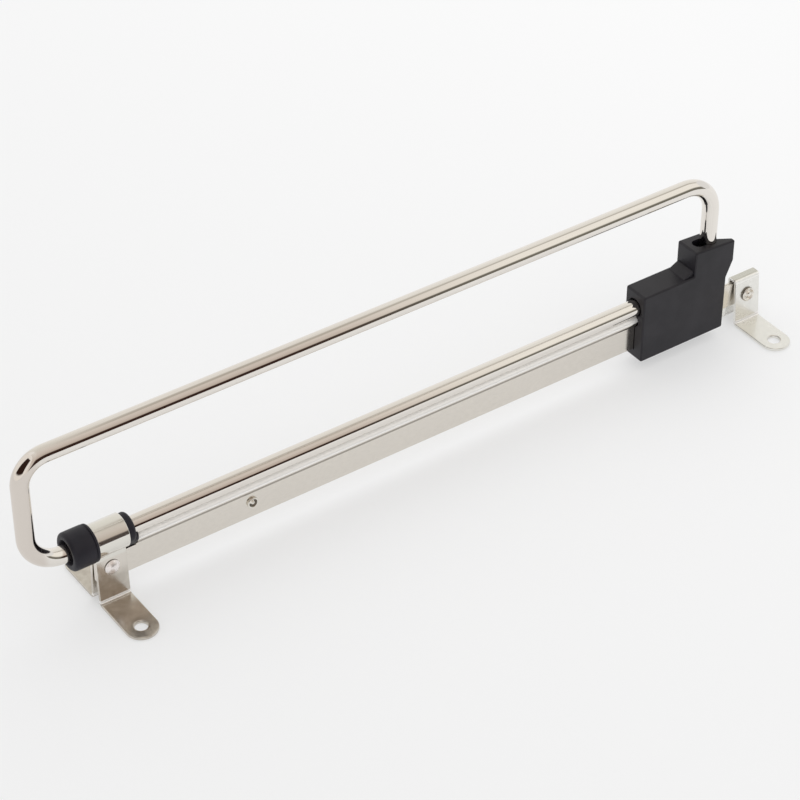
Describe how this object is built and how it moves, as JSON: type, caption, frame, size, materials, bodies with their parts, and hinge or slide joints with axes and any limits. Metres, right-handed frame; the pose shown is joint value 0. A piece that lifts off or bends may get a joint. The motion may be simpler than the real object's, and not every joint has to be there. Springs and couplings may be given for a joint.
{
  "type": "pull-out clothes rail",
  "caption": "Pull-out clothes rail: a bent rod loop with a black sliding block runs on a folded bead rail, which two strip brackets screw to the underside of a shelf.",
  "frame": {"origin": "centre of the four screw holes, on the mounting plane under the feet", "axes": "-Y is the way the loop pulls out, +X is the side that the picture shows, +Z points away from the mounting plane (down, once it is screwed under a shelf)"},
  "size_m": [0.0528, 0.3232, 0.0757],
  "materials": {
    "polished_nickel": "bright nickel plate",
    "plated_sheet": "satin nickel plate on sheet steel",
    "plated_rivet": "nickel plate",
    "black_plastic": "moulded, softly matt",
    "bush_plastic": "moulded, softly matt"
  },
  "bodies": {
    "fixed_rail": {"guide_rail": "plated_sheet", "front_bracket": "plated_sheet", "rear_bracket": "plated_sheet", "front_bush": "bush_plastic", "front_rivet": "plated_rivet", "rear_rivet": "plated_rivet", "stop_rivet": "plated_rivet"},
    "slider": {"hanging_rod": "polished_nickel", "slider_block": "black_plastic"}
  },
  "joints": [
    {"name": "pull_out", "type": "slide", "parent": "fixed_rail", "child": "slider", "axis": [0, -1, 0], "range_m": [-0.0041, 0.1694]}
  ]
}
